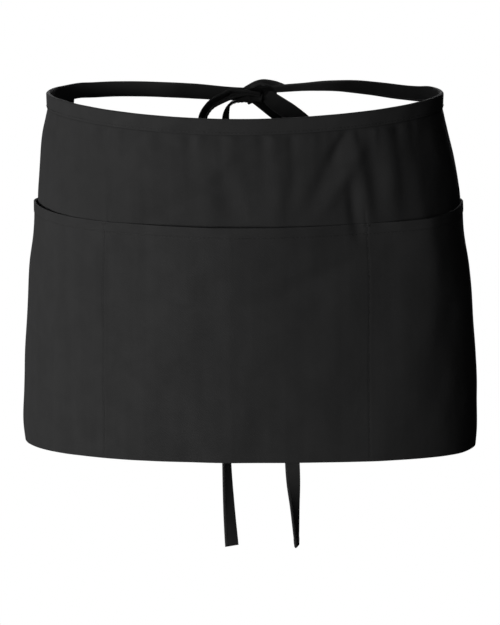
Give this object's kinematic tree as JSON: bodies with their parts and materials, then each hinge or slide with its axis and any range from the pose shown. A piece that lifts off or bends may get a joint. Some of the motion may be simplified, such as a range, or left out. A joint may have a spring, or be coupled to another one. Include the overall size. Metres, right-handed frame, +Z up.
{
  "type": "waist apron",
  "caption": "Short waist apron in black cloth, curved as worn round the hips, with pockets across its lower part and flat straps tied in a bow behind",
  "frame": {"origin": "the centre of the waist opening, level with the waistband's top edge at the sides", "axes": "+Z up, the front of the apron faces -Y, +X to the right as seen from the front"},
  "size_m": [0.3761, 0.2885, 0.412],
  "materials": {
    "panel_cloth": "black cotton and polyester twill, matt",
    "pocket_cloth": "black cotton and polyester twill, matt",
    "strap_cloth": "black twill folded and stitched flat, matt"
  },
  "bodies": {
    "root": {"body_panel": "panel_cloth", "pocket_panel": "pocket_cloth", "waistband": "strap_cloth", "strap_left": "strap_cloth", "strap_right": "strap_cloth", "bow_knot": "strap_cloth", "bow_loop_left": "strap_cloth", "bow_loop_right": "strap_cloth", "strap_tail_left": "strap_cloth", "strap_tail_right": "strap_cloth"}
  },
  "joints": []
}
